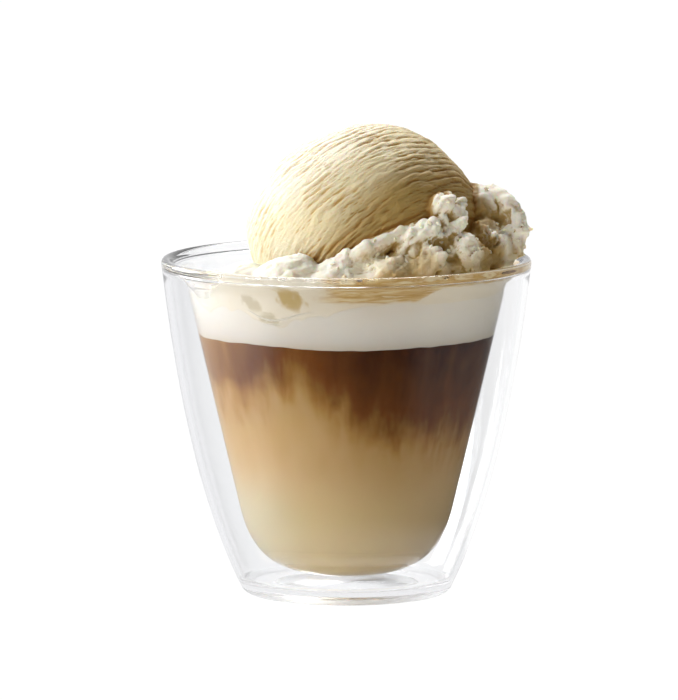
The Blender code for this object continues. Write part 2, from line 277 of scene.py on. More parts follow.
def glass_line():
    lip_a, lip_b = (43.1, GLASS_HEIGHT + 0.3), (RIM_RADIUS, GLASS_HEIGHT + 0.2)
    lip = bend((42.5, 81.0), lip_a, lip_b, (RIM_RADIUS, 80.7), 16)
    side = bend((RIM_RADIUS, 80.7), (41.1, 46.2), (34.8, 20.0), (26.0, 2.0), 40)
    heel = bend((26.0, 2.0), (25.4, 0.8), (24.6, 0.0), (FOOT_RADIUS, 0.0), 12)
    under_edge = bend((FOOT_RING_INNER, 0.0), (17.4, 0.0), (17.6, PUNT_DEPTH), (16.6, PUNT_DEPTH), 8)
    floor = PUNT_DEPTH + FLOOR_THICKNESS
    vent = [(VENT_RADIUS, PUNT_DEPTH), (VENT_RADIUS, floor)]
    gap_outer = moved_left(side, -WALL)[::-1]
    gap_corner = bend((20.0, floor), (22.4, floor), (23.6, 2.8), gap_outer[1], 10)
    gap_top = bend((43.4, 79.3), (43.4, 80.3), (41.6, 79.6), (40.6, 78.3), 10)
    gap_inner = bowl_outside()[::-1]
    loop = drinking_face() + lip + side + heel + under_edge + vent
    loop += gap_corner + gap_outer[2:-1] + gap_top + gap_inner
    return without_repeats(loop)


line_of_glass = glass_line()
print("points in the glass's line:", len(line_of_glass))

# %% [markdown]
# ### A turning tree in Geometry Nodes
#
# A lathe repeats one line round an axis. The tree below takes the line as an edge chain, makes a grid
# with one column for each step round, and puts each grid point where the line's point is, turned by its
# column's angle. Merging closes the seam and the two poles. The step count is an input of the tree. It
# is built from tables, in which a row such as `row.0 > sample.Index` links an output to an input.

# %% Build the turning tree
def wired_tree(name, inputs, nodes, links):
    """A tree from tables: its inputs, its nodes with settings and values, and its links in words."""
    tree = bpy.data.node_groups.new(name, "GeometryNodeTree")
    for title, kind in inputs.items():
        tree.interface.new_socket(title, in_out="INPUT", socket_type=f"NodeSocket{kind}")
    tree.interface.new_socket("Made", in_out="OUTPUT", socket_type="NodeSocketGeometry")
    made = {"given": tree.nodes.new("NodeGroupInput"), "result": tree.nodes.new("NodeGroupOutput")}
    for title, (kind, settings, values) in nodes.items():
        made[title] = tree.nodes.new(kind)
        for setting, value in settings.items():
            setattr(made[title], setting, value)
        for socket, value in values.items():
            made[title].inputs[socket].default_value = value
    for row in links.strip().splitlines():
        ends = [end.strip().split(".") for end in row.split(">")]
        (source, output), (target, socket) = [(n, int(s) if s.isdigit() else s) for n, s in ends]
        tree.links.new(made[source].outputs[output], made[target].inputs[socket])
    return tree


LATHE = wired_tree(
    "turned_line",
    {"Line": "Geometry", "Steps round": "Int", "Merge distance": "Float", "Material": "Material"},
    {
        "count": ("GeometryNodeAttributeDomainSize", {}, {}),
        "columns": ("FunctionNodeIntegerMath", {"operation": "ADD"}, {1: 1}),
        "grid": ("GeometryNodeMeshGrid", {}, {}),
        "index": ("GeometryNodeInputIndex", {}, {}),
        "row": ("FunctionNodeIntegerMath", {"operation": "MODULO"}, {}),
        "column": ("FunctionNodeIntegerMath", {"operation": "DIVIDE_FLOOR"}, {}),
        "sample": ("GeometryNodeSampleIndex", {"data_type": "FLOAT_VECTOR"}, {}),
        "position": ("GeometryNodeInputPosition", {}, {}),
        "share": ("ShaderNodeMath", {"operation": "DIVIDE"}, {}),
        "angle": ("ShaderNodeMath", {"operation": "MULTIPLY"}, {1: math.tau}),
        "turn": ("ShaderNodeVectorRotate", {"rotation_type": "Z_AXIS"}, {}),
        "place": ("GeometryNodeSetPosition", {}, {}),
        "merge": ("GeometryNodeMergeByDistance", {}, {}),
        "smooth": ("GeometryNodeSetShadeSmooth", {}, {}),
        "realize": ("GeometryNodeRealizeInstances", {}, {}),
        "finish": ("GeometryNodeSetMaterial", {}, {}),
    },
    """
    given.Line > count.0
    given.Steps round > columns.0
    columns.0 > grid.Vertices X
    count.Point Count > grid.Vertices Y
    index.0 > row.0
    count.Point Count > row.1
    index.0 > column.0
    count.Point Count > column.1
    given.Line > sample.Geometry
    position.0 > sample.Value
    row.0 > sample.Index
    column.0 > share.0
    given.Steps round > share.1
    share.0 > angle.0
    sample.0 > turn.Vector
    angle.0 > turn.Angle
    grid.Mesh > place.Geometry
    turn.0 > place.Position
    place.0 > merge.Geometry
    given.Merge distance > merge.Distance
    merge.0 > smooth.0
    smooth.0 > realize.0
    realize.0 > finish.Geometry
    given.Material > finish.Material
    finish.0 > result.0
    """,
)


# %% Run a tree and keep its mesh
def keep_result(obj):
    """Puts what the modifiers make in place of the object's mesh, and removes them."""
    made = bpy.data.meshes.new_from_object(obj.evaluated_get(bpy.context.evaluated_depsgraph_get()))
    obj.modifiers.clear()
    obj.data = made


def run_tree(obj, tree, **values):
    modifier = obj.modifiers.new(tree.name, "NODES")
    modifier.node_group = tree
    for item in tree.interface.items_tree:
        if item.in_out == "INPUT" and item.name in values:
            modifier[item.identifier] = values[item.name]
    obj.update_tag()
    keep_result(obj)


def new_object(name, mesh):
    obj = bpy.data.objects.new(name, mesh)
    bpy.context.scene.collection.objects.link(obj)
    return obj


def closed_object(name, mesh_data):
    """Turns the faces outwards and makes an object of them."""
    bmesh.ops.recalc_face_normals(mesh_data, faces=mesh_data.faces)
    mesh = bpy.data.meshes.new(name)
    mesh_data.to_mesh(mesh)
    mesh_data.free()
    return new_object(name, mesh)


def outwards(obj):
    mesh_data = bmesh.new()
    mesh_data.from_mesh(obj.data)
    bmesh.ops.recalc_face_normals(mesh_data, faces=mesh_data.faces)
    mesh_data.to_mesh(obj.data)
    mesh_data.free()


def count_faces(obj):
    print(obj.name, "triangles:", sum(len(p.vertices) - 2 for p in obj.data.polygons))


# %% [markdown]
# ## The glass
#
# Thin blown glass is clear and almost perfectly smooth. A very faint waviness, far broader than it is
# deep, keeps its reflections from looking computed. Only the foot ring, which is ground flat after
# blowing, is a little rough, so that the drink isn't mirrored sharply in it.

# %% Finish of the glass
glass_finish = Finish("clear_glass_fine")
waviness = glass_finish.noise((16, 16, 34), detail=1.0)
glass_finish.set(
    Base_Color=glass_finish.blend(waviness, (0.962, 0.968, 0.978), (0.978, 0.982, 0.988)),
    Roughness=glass_finish.z.step(2.4, 1.2) * 0.42,
    IOR=1.45,
    Transmission_Weight=1.0,
    Normal=glass_finish.bump(waviness, 0.05, 0.35),
)

# %% Turn the glass
GLASS_STEPS = 224
line_mesh = bpy.data.meshes.new("glass_fine")
line_points = [(r * MM, 0.0, z * MM) for r, z in line_of_glass]
line_edges = [(i, i + 1) for i in range(len(line_points) - 1)]
line_mesh.from_pydata(line_points, line_edges, [])
glass = new_object("glass_fine", line_mesh)
glass_inputs = {"Steps round": GLASS_STEPS, "Merge distance": 0.004 * MM}
run_tree(glass, LATHE, **glass_inputs, Material=glass_finish.material)
outwards(glass)
count_faces(glass)

# %% [markdown]
# ## The drink
#
# The coffee is poured over milk, so the two run into each other: dark espresso under the foam, then
# brown tongues that sink, then an even beige. Both solids are closed bodies that share one wavy
# meeting. Their sides reach a little into the glass wall, because a liquid wets the glass and no air
# shows between the two.

# %% Bodies of the drink
TURN_STEPS = 160


def radius_at(line, height):
    for (r_low, z_low), (r_high, z_high) in zip(line, line[1:]):
        if z_low <= height <= z_high:
            return r_low + (r_high - r_low) * (height - z_low) / (z_high - z_low)
    return line[-1][0]


def side_points(line, low, high, count):
    heights = [low + (high - low) * i / (count - 1) for i in range(count)]
    return [(radius_at(line, z), z) for z in heights]


def columns_round(mesh_data, profile_at, steps, ends=(0, None)):
    """The points of a line that changes with the angle, at every step round the axis."""
    columns = []
    for step in range(steps):
        angle = math.tau * step / steps
        across = Vector((math.cos(angle), math.sin(angle), 0.0))
        points = [across * r + Vector((0, 0, z)) for r, z in profile_at(angle)[slice(*ends)]]
        columns.append([mesh_data.verts.new(point * MM) for point in points])
    return zip(columns, columns[1:] + columns[:1])


def finished_body(name, mesh_data, sharp_degrees):
    body = closed_object(name, mesh_data)
    body.data.shade_smooth()
    body.data.set_sharp_from_angle(angle=math.radians(sharp_degrees))
    count_faces(body)
    return body


def turned_body(name, profile_at, steps=TURN_STEPS):
    """A closed body from a line whose ends lie on the axis."""
    mesh_data = bmesh.new()
    first = profile_at(0.0)
    poles = [mesh_data.verts.new(Vector((0, 0, first[i][1])) * MM) for i in (0, -1)]
    for column, beside in columns_round(mesh_data, profile_at, steps, ends=(1, -1)):
        mesh_data.faces.new((poles[0], beside[0], column[0]))
        for low in range(len(column) - 1):
            mesh_data.faces.new((column[low], beside[low], beside[low + 1], column[low + 1]))
        mesh_data.faces.new((poles[1], column[-1], beside[-1]))
    return finished_body(name, mesh_data, 50)


def layer_meeting(angle, share):
    tilt = 3.0 * math.cos(angle - math.pi)
    tongues = 1.6 * math.sin(3 * angle + 0.6) + 1.3 * math.sin(7 * angle + 2.0)
    ripples = 0.7 * math.sin(11 * angle)
    return LAYER_MEETING + (tilt + tongues + ripples) * share**2


def foam_meeting(angle, share):
    """Nearly level, with the small unevenness that the foam's lower edge shows at the wall."""
    waves = 0.30 * math.sin(2 * angle + 1.0) + 0.15 * math.sin(5 * angle)
    fine = 0.22 * noise.noise(Vector((math.cos(angle), math.sin(angle), 0.3)) * 9)
    return FOAM_BOTTOM + (waves + fine) * share**2


def level_points(height_at, angle, edge, rings):
    return [(edge * (1 - i / rings), height_at(angle, 1 - i / rings)) for i in range(1, rings + 1)]


def wall_at(bite):
    """The drinking face, moved into the glass by so much."""
    line = moved_left(drinking_face(), -bite)
    line[0] = (0.0, line[0][1])
    return line


wall_line = wall_at(BITE)


def milk_profile(angle):
    bowl = [point for point in wall_line if point[1] < 30]
    side = side_points(wall_line, 31, layer_meeting(angle, 1.0), 12)
    return bowl + side + level_points(layer_meeting, angle, side[-1][0], 8)


def espresso_profile(angle):
    side = side_points(wall_line, layer_meeting(angle, 1.0), foam_meeting(angle, 1.0), 14)
    bottom = level_points(layer_meeting, angle, side[0][0], 8)[::-1]
    return bottom + side + level_points(foam_meeting, angle, side[-1][0], 8)


milk_coffee = turned_body("milk_coffee_fine", milk_profile)
espresso = turned_body("espresso_fine", espresso_profile)

# %% [markdown]
# ### Colour of the drink
#
# Both bodies use one colour rule, so that no line shows where they meet. The rule works out how much
# milk there is at a place: it falls with height, the limit is lower on the right, and stretched noise
# pulls it into tongues. A ramp then gives the colour from espresso through red-brown to beige.

# %% Finish of the drink
def drink_finish(name):
    finish = Finish(name)
    wide = finish.noise((8, 8, 26), detail=2.0, distortion=0.7)
    narrow = finish.noise((2.8, 2.8, 22), detail=3.0, rough=0.6, shift=(3, 1, 0), distortion=0.5)
    cloud = finish.noise((12, 12, 8), detail=3.0, shift=(1, 5, 2))
    middle = 52.6 - finish.x.step(-13.0, 20.0) * 12.6
    middle = middle + finish.x.bump_at(-11.0, 5.0) * 4.0 - finish.x.bump_at(-23.5, 5.0) * 3.0
    middle = middle - finish.x.bump_at(3.0, 5.0) * 2.0
    wander = (wide - 0.5) * 14 + (narrow - 0.5) * 9 + (cloud - 0.5) * 9
    below = middle + wander - finish.z
    milk = 0.3 + below / 80 + below.step(-7.0, 7.0) * 0.4
    left_edge = finish.x.step(-14.0, -31.0) * 0.38 * (wide + 0.4)
    milk = milk.higher_of(left_edge)
    colour = finish.ramp(
        milk.limited(),
        (
            (0.00, (0.068, 0.015, 0.003)),
            (0.20, (0.255, 0.090, 0.017)),
            (0.40, (0.474, 0.262, 0.076)),
            (0.60, (0.632, 0.412, 0.154)),
            (0.80, (0.744, 0.563, 0.286)),
            (1.00, (0.824, 0.669, 0.424)),
        ),
    )
    settled = finish.z.step(36.0, 20.0)
    # Near the bottom the milk has settled to one tone, less saturated towards the left.
    settled_tone_and_painted_shade = finish.blend(finish.x.step(-4.0, -22.0), (0.885, 0.765, 0.50), (0.80, 0.745, 0.58))
    # Painted shade: the settled milk is darker on the right, away from the key light.
    settled_tone_and_painted_shade = finish.blend(finish.x.step(8.0, 24.0) * 0.8, settled_tone_and_painted_shade, (0.76, 0.63, 0.38))
    colour = finish.blend(settled, colour, settled_tone_and_painted_shade)
    finish.set(
        Base_Color=colour,
        Roughness=0.4,
        Specular_IOR_Level=0.1,
        Subsurface_Weight=0.3,
        Subsurface_Radius=(1.0, 0.7, 0.4),
        Subsurface_Scale=2.0 * MM,
    )
    return finish


milk_coffee.data.materials.append(drink_finish("milk_coffee_fine").material)
espresso.data.materials.append(drink_finish("espresso_fine").material)

# %% [markdown]
# ## The milk foam
#
# Steamed milk foam is a dense mass of tiny bubbles. Its side against the glass is smooth, and its top
# is softly uneven, with larger bubbles near the wall. The body has the same seat for the scoop and the
# same sunk pockets as its solid.

# %% Body of the foam
SUNK_POCKETS = ((-17, -30, 8, 6), (-6, -34, 7, 3), (-30, -16, 7, 4))
FOAM_RINGS = 60


def foam_top(angle, radius):
    x, y = radius * math.cos(angle), radius * math.sin(angle)
    spot = Vector((x, y, 0))
    level = FOAM_TOP + 0.8 * noise.noise(spot / 9 + SEED) + 0.16 * noise.noise(spot / 2.2)
    for px, py, width, depth in SUNK_POCKETS:
        level -= depth * math.exp(-((x - px) ** 2 + (y - py) ** 2) / width**2)
    across = (x - BALL_CENTRE.x) / (BALL_REACH.x - 1)
    along = (y - BALL_CENTRE.y) / (BALL_REACH.y - 1)
    inside = 1 - across**2 - along**2
    if inside > 0:
        level = min(level, BALL_CENTRE.z - (BALL_REACH.z - 1) * math.sqrt(inside))
    return max(level, SCOOP_BASE)


foam_wall = wall_at(FOAM_BITE)


def foam_profile(angle):
    edge = radius_at(foam_wall, FOAM_TOP)
    shares = [1 - i / FOAM_RINGS for i in range(FOAM_RINGS + 1)]
    centre = foam_top(0.0, 0.0)
    creep_up = 0.2
    top = []
    for share in shares:
        near_wall = max(share - 0.965, 0.0) / 0.035
        level = foam_top(angle, edge * share) if share else centre
        top.append((edge * share, level + creep_up * near_wall))
    side = side_points(foam_wall, foam_meeting(angle, 1.0), top[0][1], 14)
    bottom = level_points(foam_meeting, angle, side[0][0], 8)[::-1]
    return bottom + side + top[1:]


foam = turned_body("milk_foam_fine", foam_profile, 200)

# %% Finish of the foam
foam_finish = Finish("milk_foam_fine")
bubbles = foam_finish.noise((0.8, 0.8, 0.8), detail=3.0, rough=0.7)
mottle = foam_finish.noise((5, 5, 4), detail=3.0)
near_coffee = foam_finish.z.step(66.2, 63.8)
foam_colour = foam_finish.blend(mottle, (0.955, 0.94, 0.895), (0.975, 0.965, 0.93))
foam_colour = foam_finish.blend(near_coffee * 0.35, foam_colour, (0.80, 0.70, 0.54))
foam_finish.set(
    Base_Color=foam_colour,
    Roughness=0.6,
    Subsurface_Weight=0.4,
    Subsurface_Radius=(1.0, 0.9, 0.75),
    Subsurface_Scale=1.0 * MM,
    Normal=foam_finish.bump(bubbles, 0.12, 0.5),
)
foam.data.materials.append(foam_finish.material)

# %% [markdown]
# ## The scoop of ice cream
#
# A round scoop is rolled out of a frozen block, so it has two kinds of surface. The ball is combed by
# the scoop's edge into fine broken ridges, all in rings round the axis that it rolled on. Its foot is a
# torn collar of lumps and curled flakes. Both are made as their solid was, only with far more faces.
# One lump and one flake at the front right stand a few millimetres further back than in the solid.

# %% Name the torn collar's masses
COLLAR_LUMPS = (
    ((-25, -20, 78), (7, 8, 5)),
    ((-15, -28, 80), (9, 7, 5)),
    ((-18, -31, 75), (7, 6, 6)),
    ((-9, -33, 76), (6, 5, 5)),
    ((-3, -31, 79.5), (9, 6, 4.5)),
    ((9, -31, 80.5), (8, 6, 5)),
    ((19, -28.5, 82), (7, 6, 6)),
    ((28, -22.5, 83.5), (7, 7, 6.5)),
    ((35, -11, 85), (5.5, 9, 8)),
    ((17, -24.5, 89.5), (6.5, 5, 4.5)),
    ((22.6, -19, 94.5), (5.5, 5, 5)),
    ((32, 0, 92), (7, 10, 8)),
    ((32, 11, 86), (6, 10, 8)),
    ((21, 23, 83), (9, 8, 6.5)),
    ((2, 28, 79.5), (12, 7, 5)),
    ((-17, 19, 77.5), (8, 9, 3.5)),
)
FLAKES = (
    (((34, -9, 80), (42, -10, 86), (42, -6, 93), (34.5, -3, 99)), (-0.4, 1, 0.1), 17, 5.5),
    (((-8, -29, 82), (0, -30.5, 83.5), (6, -29, 86), (14, -27, 91.5)), (0.1, -0.6, 0.8), 7, 5.5),
    (((12, -28, 85), (17, -28, 88), (20, -27, 90), (21, -25, 94)), (0.8, 0.3, -0.3), 7, 5),
    (((21, -24, 86), (25, -24, 90), (27, -20, 94), (26, -16.5, 98.5)), (0.7, 0.6, 0), 8, 5),
    (((20, 20, 86), (26, 22, 90), (24, 21, 96), (18, 20, 98)), (0.7, -0.7, 0.1), 13, 5.5),
    (((-2, 27, 82), (-8, 29, 84), (-14, 27, 84), (-20, 24, 82)), (0, 0.6, 0.8), 9, 5.5),
)
CALM_FLAKES = (0, 1)
COLLAR_RADIUS = 34.0
# Painted shadows: dark brown spots in the collar's holes, such as the one between the flap and the ball.
PAINTED_HOLE_SHADOWS = (
    ((30.5, -12.0, 93.5), 7.5, 0.9),
    ((33.5, -21.0, 84.0), 7.0, 0.9),
    ((18.0, -32.0, 83.0), 5.5, 0.55),
)
NOISE_SHIFTS = (Vector((9.3, -1.5, -7.9)), Vector((-2.6, 5.4, 3.1)), Vector((4.8, 12.7, -6.2)))
CRAG_DEPTH = 2.0
VOXEL = 0.5
RIDGE_SPACING = 2.15
RIDGE_HEIGHT = 0.56
TORN_HEIGHT = 0.40
WORN_SIDE = Vector((-0.66, -0.10, 0.75)).normalized()


# %% Shape the combed ball
def kept_between(value, low=0.0, high=1.0):
    return min(max(value, low), high)


def crest(value, groove_width):
    """1 on a broad crest, falling to 0 in a narrow groove where the value crosses 0."""
    return min(abs(value) / groove_width, 1.0) ** 0.75


def comb(direction, from_pole, round_axis):
    """Height of the ridges in millimetres: combed rings, each broken along its length, and fine tears."""
    across = from_pole * BALL_REACH.y
    phase = across * math.pi / RIDGE_SPACING + 2.6 * noise.noise(direction * 2.6 + SEED)
    phase += 1.3 * noise.noise(direction * 8.0 - SEED)
    ring_number = math.floor(phase / math.pi)
    turn = (math.cos(round_axis), math.sin(round_axis))
    broken = noise.noise(Vector((ring_number * 7.31, 2.6 * turn[0], 2.6 * turn[1])))
    ridge = (crest(math.sin(phase), 0.75) - 0.7) * kept_between(0.62 + 1.5 * broken, 0.1, 1.25)
    tear_place = Vector((across / 0.85, 4.2 * turn[0], 4.2 * turn[1]))
    torn = crest(noise.noise(tear_place), 0.22) - 0.75
    strength = 0.85 + 0.7 * noise.noise(direction * 2.4 - SEED)
    strength *= 1 - 0.3 * kept_between((direction.dot(WORN_SIDE) - 0.4) / 0.5)
    return (RIDGE_HEIGHT * ridge + TORN_HEIGHT * torn) * kept_between(strength, 0.45, 1.15)


def combed_ball(rings=320, spokes=200):
    side = ROLLING_AXIS.orthogonal().normalized()
    other = ROLLING_AXIS.cross(side)
    mesh_data = bmesh.new()

    def spot(ring, spoke):
        from_pole = math.pi * ring / rings
        round_axis = math.tau * spoke / spokes
        outward = side * math.cos(round_axis) + other * math.sin(round_axis)
        direction = ROLLING_AXIS * math.cos(from_pole) + outward * math.sin(from_pole)
        scaled = Vector(direction[i] / BALL_REACH[i] for i in range(3))
        swell = 0.9 * noise.noise(direction * 1.7 + SEED)
        reach = 1 / scaled.length + swell + comb(direction, from_pole, round_axis)
        return (BALL_CENTRE + direction * reach) * MM

    poles = [mesh_data.verts.new(spot(0, 0)), mesh_data.verts.new(spot(rings, 0))]
    grid = [[mesh_data.verts.new(spot(r, s)) for s in range(spokes)] for r in range(1, rings)]
    for s in range(spokes):
        after = (s + 1) % spokes
        mesh_data.faces.new((poles[0], grid[0][s], grid[0][after]))
        mesh_data.faces.new((poles[1], grid[-1][after], grid[-1][s]))
        for r in range(rings - 2):
            mesh_data.faces.new((grid[r][s], grid[r + 1][s], grid[r + 1][after], grid[r][after]))
    return closed_object("combed_ball", mesh_data)


# %% Shape the masses of the collar
def lump(centre, semi_axes, tilt, subdivisions):
    mesh_data = bmesh.new()
    bmesh.ops.create_icosphere(mesh_data, subdivisions=subdivisions, radius=1.0)
    lean = Matrix.Rotation(math.radians(tilt[0]), 3, "X")
    lean = lean @ Matrix.Rotation(math.radians(tilt[1]), 3, "Y")
    for vertex in mesh_data.verts:
        point = Vector(vertex.co[i] * semi_axes[i] for i in range(3))
        vertex.co = (lean @ point + Vector(centre)) * MM
    return closed_object("lump", mesh_data)


def curled_flake(path, across, width, thickness, seed, steps=24, spokes=24):
    """A thick torn strip: a flat oval section, ragged at its edges, that follows a bent path."""
    middle = interpolate_bezier(*[Vector(point) for point in path], steps + 1)
    sideways = Vector(across).normalized()
    mesh_data = bmesh.new()

    def spot(step, spoke):
        share = step / steps
        forward = (middle[min(step + 1, steps)] - middle[max(step - 1, 0)]).normalized()
        over = forward.cross(sideways).normalized()
        taper = math.sqrt(math.sin(math.pi * (0.04 + 0.92 * share)))
        turn = math.tau * spoke / spokes
        ragged = 1 + 0.5 * noise.noise(Vector((share * 4, math.cos(turn) * 1.5, seed)))
        offset = sideways * math.cos(turn) * width / 2 * taper * ragged
        offset += over * math.sin(turn) * thickness / 2 * taper
        offset += over * 1.2 * noise.noise(Vector((share * 2.5, math.cos(turn), seed + 9)))
        return (middle[step] + offset) * MM

    rings = []
    for step in range(steps + 1):
        rings.append([mesh_data.verts.new(spot(step, spoke)) for spoke in range(spokes)])
    for low, high in zip(rings, rings[1:]):
        for i in range(spokes):
            j = (i + 1) % spokes
            mesh_data.faces.new((low[i], low[j], high[j], high[i]))
    mesh_data.faces.new(rings[0][::-1])
    mesh_data.faces.new(rings[-1])
    return closed_object("flake", mesh_data)


# %% [markdown]
# ### Fusing and tearing
#
# The masses are fused by a Boolean union, and a voxel remesh then gives one even skin. Moving that skin
# along its normals by broad and creased noise, leaning plates with cracks between them, and grit tears
# it into crags, less along two curls and low down, where it has begun to melt. The ball is joined last,
# so that its combed ridges keep their own sharp grid, and the whole is cut to the room in the glass.

# %% Fuse, tear and cut the scoop
def reshape(obj, modifier_type, **settings):
    modifier = obj.modifiers.new(modifier_type.lower(), modifier_type)
    for name, value in settings.items():
        setattr(modifier, name, value)
    keep_result(obj)


def join_pieces(pieces):
    group = bpy.data.collections.new("pieces")
    bpy.context.scene.collection.children.link(group)
    for piece in pieces[1:]:
        bpy.context.scene.collection.objects.unlink(piece)
        group.objects.link(piece)
    joining = {"operation": "UNION", "solver": "MANIFOLD", "operand_type": "COLLECTION"}
    reshape(pieces[0], "BOOLEAN", **joining, collection=group)
    for piece in pieces[1:]:
        bpy.data.objects.remove(piece)
    bpy.data.collections.remove(group)
    return pieces[0]


def fixed_noise_vector(point):
    """Three noise values as one vector. The module's own vector noise differs from run to run."""
    return Vector(noise.noise(point + shift) for shift in NOISE_SHIFTS)


def plates(point, size, seed):
    """Tilt and edge of the flake that a place belongs to, as a height with cracks between flakes."""
    angle = math.atan2(point.y, point.x)
    round_glass = angle * COLLAR_RADIUS
    far_out = math.hypot(point.x, point.y)
    along = round_glass * 0.82 + point.z * 0.57
    over = point.z * 0.82 - round_glass * 0.57
    warp = fixed_noise_vector(point / 6.0 + seed) * 0.45
    spot = Vector((along / (size * 2.6), over / size, far_out / (size * 1.2))) + warp
    distances, centres = noise.voronoi(spot)
    lean = fixed_noise_vector(centres[0] * 3.7 + seed)
    slab = (spot - centres[0]).dot(lean) * 2.4 + lean.z * 1.1
    crack = max(1 - (distances[1] - distances[0]) / 0.16, 0.0)
    return slab, crack


def calm_places():
    """Points along the curls that stay smooth."""
    paths = [map(Vector, FLAKES[flake][0]) for flake in CALM_FLAKES]
    return [place for path in paths for place in interpolate_bezier(*path, 12)]


def tear(obj):
    places = []
    calm = calm_places()
    for vertex in obj.data.vertices:
        point = vertex.co / MM
        near = min((point - place).length for place in calm)
        near *= 0.6 if point.x > 30 else 1.0
        melted = kept_between((4.0 - point.x) / 16.0)
        rough = (1 - 0.6 * math.exp(-((near / 5.0) ** 2))) * (1 - 0.5 * melted)
        rough *= 1 - 0.2 * kept_between((88 - point.z) / 6)
        stretched = Vector((point.x, point.y, point.z - 0.35 * point.x))
        broad = noise.noise(stretched / 8 + SEED)
        crease = min(abs(noise.noise(stretched / 6.5 - SEED)), 0.3)
        slab, crack = plates(point, 5.0, SEED)
        chip, chip_crack = plates(point, 2.0, SEED * 2)
        depth = CRAG_DEPTH * (0.7 * broad + 0.6 * crease - 0.15)
        grit = noise.noise(point / 1.1 + SEED) + 0.5 * noise.noise(point / 0.6)
        depth += 1.15 * slab - 0.40 * crack + 0.60 * chip - 0.20 * chip_crack + 0.32 * grit
        places.append(vertex.co + vertex.normal * depth * rough * MM)
    for vertex, place in zip(obj.data.vertices, places):
        vertex.co = place


def room_profile(angle):
    """What the scoop may fill: the bowl above the foam's seat, and open air above the rim."""
    edge = radius_at(wall_line, FOAM_TOP)
    sunk = 0.9
    floor = [(0.0, foam_top(0.0, 0.0) - sunk)]
    for i in range(1, 31):
        radius = edge * i / 30
        floor.append((radius, foam_top(angle, radius) - sunk))
    low = floor[-1][1]
    line = wall_at(SCOOP_BITE)
    floor[-1] = (radius_at(line, low), low)
    side = side_points(line, low, FOAM_TOP + 1, 16)[1:]
    side += [p for p in line if FOAM_TOP + 1 < p[1] < 80.9]
    above = [(42.0, GLASS_HEIGHT + 0.5), (46.5, GLASS_HEIGHT + 2.5), (46.5, 125), (0.0, 125)]
    return floor + side + above


def keep_outer_shell(obj):
    """Drops loose scraps and sealed hollows: only the largest shell stays."""
    mesh_data = bmesh.new()
    mesh_data.from_mesh(obj.data)
    unseen = set(mesh_data.faces)
    shells = []
    while unseen:
        shell = [unseen.pop()]
        for face in shell:
            beside = {other for edge in face.edges for other in edge.link_faces} & unseen
            unseen -= beside
            shell.extend(beside)
        shells.append(shell)
    scraps = [face for shell in sorted(shells, key=len)[:-1] for face in shell]
    bmesh.ops.delete(mesh_data, geom=scraps, context="FACES")
    mesh_data.to_mesh(obj.data)
    mesh_data.free()


masses = [lump((8, -1, 79), (29, 30, 8.5), (4, -21), 5)]
for i, (centre, size) in enumerate(COLLAR_LUMPS):
    masses.append(lump(centre, size, (10 * math.sin(i * 2.1), -18), 4))
for i, (path, across, width, thickness) in enumerate(FLAKES):
    masses.append(curled_flake(path, across, width, thickness, i * 3.7))
collar = join_pieces(masses)
reshape(collar, "REMESH", mode="VOXEL", voxel_size=VOXEL * MM)
tear(collar)
reshape(collar, "SMOOTH", factor=0.35, iterations=1)
scoop = join_pieces([combed_ball(), collar])
room = turned_body("room", room_profile)
reshape(scoop, "BOOLEAN", operation="INTERSECT", solver="MANIFOLD", object=room)
bpy.data.objects.remove(room)
keep_outer_shell(scoop)
scoop.name = "ice_cream_fine"
scoop.data.shade_smooth()
count_faces(scoop)

# %% [markdown]
# ### How deep each place lies
#
# Coffee and melted cream gather in the grooves and crevices and stain them, and these places also lie in
# shade. So the mesh carries one
# number for each point: the share of directions above it in which a short ray meets the ice cream. The
# colour drawn from it is partly that stain and partly painted shade.

# %% Measure the crevices
def open_directions(count=14):
    """Directions spread evenly over a half ball round +Z."""
    golden = math.pi * (3 - math.sqrt(5))
    spread = []
    for i in range(count):
        up = 1 - (i + 0.5) / count * 0.92
        flat = math.sqrt(1 - up * up)
        spread.append(Vector((flat * math.cos(golden * i), flat * math.sin(golden * i), up)))
    return spread


def store_values(obj, name, values):
    layer = obj.data.attributes.new(name, "FLOAT", "POINT")
    layer.data.foreach_set("value", values)


def mark_depth(obj, name, reach):
    tree = BVHTree.FromObject(obj, bpy.context.evaluated_depsgraph_get())
    directions = open_directions()
    values = []
    for vertex in obj.data.vertices:
        turn = vertex.normal.to_track_quat("Z", "Y")
        start = vertex.co + vertex.normal * 0.05 * MM
        met = sum(tree.ray_cast(start, turn @ ray, reach * MM)[0] is not None for ray in directions)
        values.append(met / len(directions))
    store_values(obj, name, values)
    print(name, "mean:", round(sum(values) / len(values), 3))


mark_depth(scoop, "groove", 1.6)
mark_depth(scoop, "crevice", 7.0)

# %% Finish of the ice cream
ice = Finish("vanilla_ice_cream_fine")
groove = ice.attribute("groove")
crevice = ice.attribute("crevice")
patches = ice.noise((9, 9, 9), detail=2.0)
crystals = ice.noise((0.55, 0.55, 0.55), detail=3.0, rough=0.7)
pores = ice.noise((1.6, 1.6, 1.6), detail=2.0, shift=(2, 2, 2))
places = zip(ice.axes, BALL_CENTRE, BALL_REACH)
from_centre = sum(((along - centre) / span) ** 2 for along, centre, span in places)
torn = from_centre.step(1.07, 1.13)
# Painted shade: the ball's right side and lower part, away from the key light, turn dark golden brown; less
# at the top, which the back light reaches.
golden = (ice.x - (ice.z - 98) * 0.8).step(-4.0, 11.0)
golden = golden * (1 - ice.z.step(101.0, 109.0) * 0.65)
# Painted shade: the ball's lower left, below the key light, is darker and greyer, with less golden and
# groove colour.
shaded_low_left = ice.z.step(96.0, 84.0) * ice.x.step(-2.0, -14.0)
golden = golden.higher_of(ice.z.step(93.0, 81.0) * 0.7 - shaded_low_left * 0.6)
